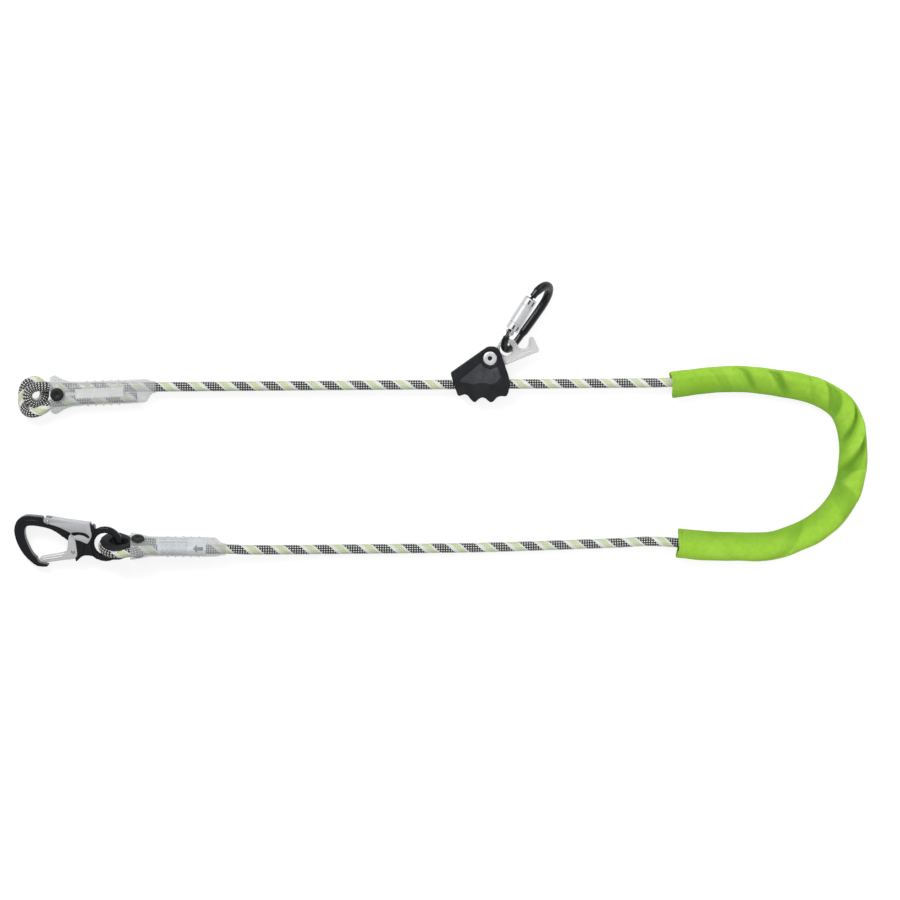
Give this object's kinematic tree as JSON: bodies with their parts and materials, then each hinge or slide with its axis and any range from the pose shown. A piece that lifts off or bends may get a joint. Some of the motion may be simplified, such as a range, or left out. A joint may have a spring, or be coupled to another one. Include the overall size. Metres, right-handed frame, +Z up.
{
  "type": "tree climbing lanyard",
  "caption": "Work-positioning lanyard: rope with two sewn eyes, snap hook, sliding cam adjuster with a locking carabiner, and a fabric rope protector.",
  "frame": {"origin": "on the ground plane, under the middle of the laid-out lanyard's box, measured without the loose rope", "axes": "+X along the two straight runs towards the sleeved bend, +Y from the hook's run towards the adjuster's run, +Z up from the ground"},
  "size_m": [1.0632, 0.3543, 0.0484],
  "materials": {
    "rope": "braided polyamide sheath, white with pale green and dark tracer yarns",
    "thread": "white bar-tacked sewing thread",
    "clear_cover": "clear shrunk cover",
    "black_plastic": "moulded black plastic",
    "label": null,
    "lime_fabric": "bright lime woven sleeve",
    "black_alloy": "black anodised forged alloy",
    "bare_alloy": "satin bare alloy",
    "cast_alloy": "fine cast alloy",
    "steel": "plain steel"
  },
  "bodies": {
    "root": {"rope_run": "rope", "rope_eye_upper": "rope", "rope_eye_lower": "rope", "stitching_upper": "thread", "stitching_lower": "thread", "cover_upper": "clear_cover", "cover_lower": "clear_cover", "plug_upper": "black_plastic", "plug_lower": "black_plastic", "thimble": "black_plastic", "label": "label", "rope_protector": "lime_fabric"},
    "hook": {"hook_frame": "black_alloy", "hook_gate_rivet": "steel", "hook_lever_rivet": "steel", "hook_gate_spring": "steel", "hook_lever_spring": "steel"},
    "hook_gate": {"hook_gate": "cast_alloy"},
    "hook_lever": {"hook_lever": "bare_alloy"},
    "adjuster": {"grip_front": "black_plastic", "grip_back": "black_plastic", "side_plate_front": "bare_alloy", "side_plate_back": "bare_alloy", "rope_anvil": "steel", "anvil_rivet_left": "steel", "anvil_rivet_right": "steel", "pivot_bolt": "bare_alloy", "pivot_nut": "bare_alloy", "cam_bush": "steel", "cam_spring": "steel"},
    "cam": {"cam": "cast_alloy"},
    "carabiner": {"carabiner_frame": "black_alloy", "carabiner_gate_pin": "steel"},
    "carabiner_gate": {"carabiner_gate": "bare_alloy"},
    "sleeve_guide": {"sleeve_guide": "steel", "sleeve_spring": "steel"},
    "locking_sleeve": {"locking_sleeve": "bare_alloy"}
  },
  "joints": [
    {"name": "hook_swing", "type": "hinge", "parent": "root", "child": "hook", "pos_m": [-0.4189, -0.1476, 0.0218], "axis": [-0.1056, -0.2079, 0.9724], "range_deg": [-60, 60]},
    {"name": "hook_gate_open", "type": "hinge", "parent": "hook", "child": "hook_gate", "pos_m": [-0.45866, -0.1566, 0.01556], "axis": [-0.1056, -0.2079, 0.9724], "range_deg": [-35, 0], "stiffness_Nm_per_rad": 0.06, "springref_deg": 22.92},
    {"name": "hook_lever_press", "type": "hinge", "parent": "hook", "child": "hook_lever", "pos_m": [-0.48964, -0.11923, 0.02018], "axis": [-0.1056, -0.2079, 0.9724], "range_deg": [-5, 0], "stiffness_Nm_per_rad": 0.12, "springref_deg": 11.46},
    {"name": "adjuster_slide", "type": "slide", "parent": "root", "child": "adjuster", "axis": [1, 0.008, 0], "range_m": [-0.33, 0.15]},
    {"name": "cam_release", "type": "hinge", "parent": "adjuster", "child": "cam", "pos_m": [0.05964, 0.0836, 0.0152], "axis": [0.0004, -0.0523, 0.9986], "range_deg": [-20, 0], "stiffness_Nm_per_rad": 0.15, "springref_deg": 17.19},
    {"name": "carabiner_swing", "type": "hinge", "parent": "cam", "child": "carabiner", "pos_m": [0.07995, 0.09455, 0.01577], "axis": [0.0004, -0.0523, 0.9986], "range_deg": [-30, 30]},
    {"name": "carabiner_gate_open", "type": "hinge", "parent": "carabiner", "child": "carabiner_gate", "pos_m": [0.08451, 0.11522, 0.0334], "axis": [0.7331, -0.5328, 0.4226], "range_deg": [-28, 0], "stiffness_Nm_per_rad": 0.05, "springref_deg": 28.65},
    {"name": "sleeve_lift", "type": "slide", "parent": "carabiner_gate", "child": "sleeve_guide", "axis": [0.5298, 0.8371, 0.1363], "range_m": [0, 0.002], "stiffness_N_per_m": 500, "springref_m": -0.002},
    {"name": "sleeve_twist", "type": "hinge", "parent": "sleeve_guide", "child": "locking_sleeve", "pos_m": [0.08451, 0.11522, 0.0334], "axis": [0.5298, 0.8371, 0.1363], "range_deg": [0, 90], "stiffness_Nm_per_rad": 0.02, "springref_deg": -17.19}
  ]
}
